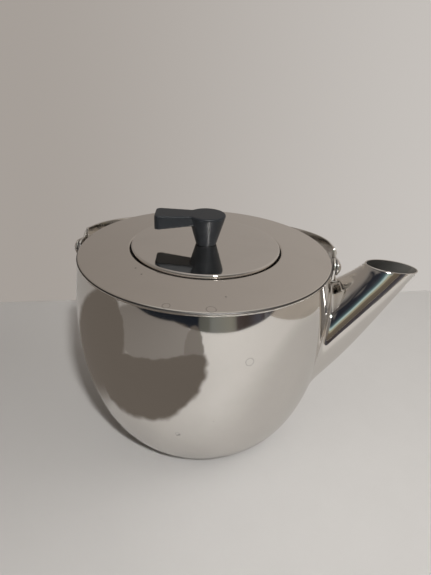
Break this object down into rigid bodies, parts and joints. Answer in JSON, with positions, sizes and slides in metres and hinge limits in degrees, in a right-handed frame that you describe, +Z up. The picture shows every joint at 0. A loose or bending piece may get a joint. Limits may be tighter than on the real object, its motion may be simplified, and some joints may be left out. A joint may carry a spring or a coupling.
{
  "type": "stovetop kettle",
  "caption": "Polished steel stovetop kettle with a broad flat shoulder, lift-off lid with a side-lever knob, open cone spout and a strap handle folded back behind the body.",
  "frame": {"origin": "centre of the flat underside that the kettle stands on", "axes": "+Z up, +X towards the spout, +Y towards the back, where the folded handle lies"},
  "size_m": [0.2653, 0.2394, 0.1765],
  "materials": {
    "body_steel": "mirror-polished stainless steel",
    "top_steel": "mirror-polished stainless steel",
    "lid_steel": "mirror-polished stainless steel",
    "spout_steel": "mirror-polished stainless steel",
    "strap_steel": "polished stainless steel strap",
    "fitting_steel": "polished stainless steel stampings",
    "rivet_steel": "polished rivet heads",
    "screw_steel": "plain steel",
    "base_core": "dull heat-spreading disc, enclosed by its cap",
    "insert_brass": "plain turned brass",
    "knob_plastic": "black heat-proof plastic, satin",
    "spacer_plastic": "black heat-proof washer"
  },
  "bodies": {
    "kettle": {"body_shell": "body_steel", "base_disc": "base_core", "base_cap": "body_steel", "shoulder_ring": "top_steel", "lid_seat": "top_steel", "spout": "spout_steel", "lug_right": "fitting_steel", "lug_left": "fitting_steel", "pivot_spacers": "spacer_plastic", "pivot_rivets": "rivet_steel"},
    "handle": {"handle_strap": "strap_steel", "link_right": "fitting_steel", "link_left": "fitting_steel", "strap_rivets": "rivet_steel"},
    "lid": {"lid_cover": "lid_steel", "lid_under_plate": "lid_steel", "lid_skirt": "lid_steel", "lid_knob": "knob_plastic", "knob_insert": "insert_brass", "knob_washer": "screw_steel", "knob_screw": "screw_steel"}
  },
  "joints": [
    {"name": "handle_swing", "type": "hinge", "parent": "kettle", "child": "handle", "pos_m": [0, 0, 0.1415], "axis": [1, 0, 0], "range_deg": [0, 202]},
    {"name": "lid_lift", "type": "slide", "parent": "kettle", "child": "lid", "axis": [0, 0, 1], "range_m": [0, 0.06]}
  ]
}
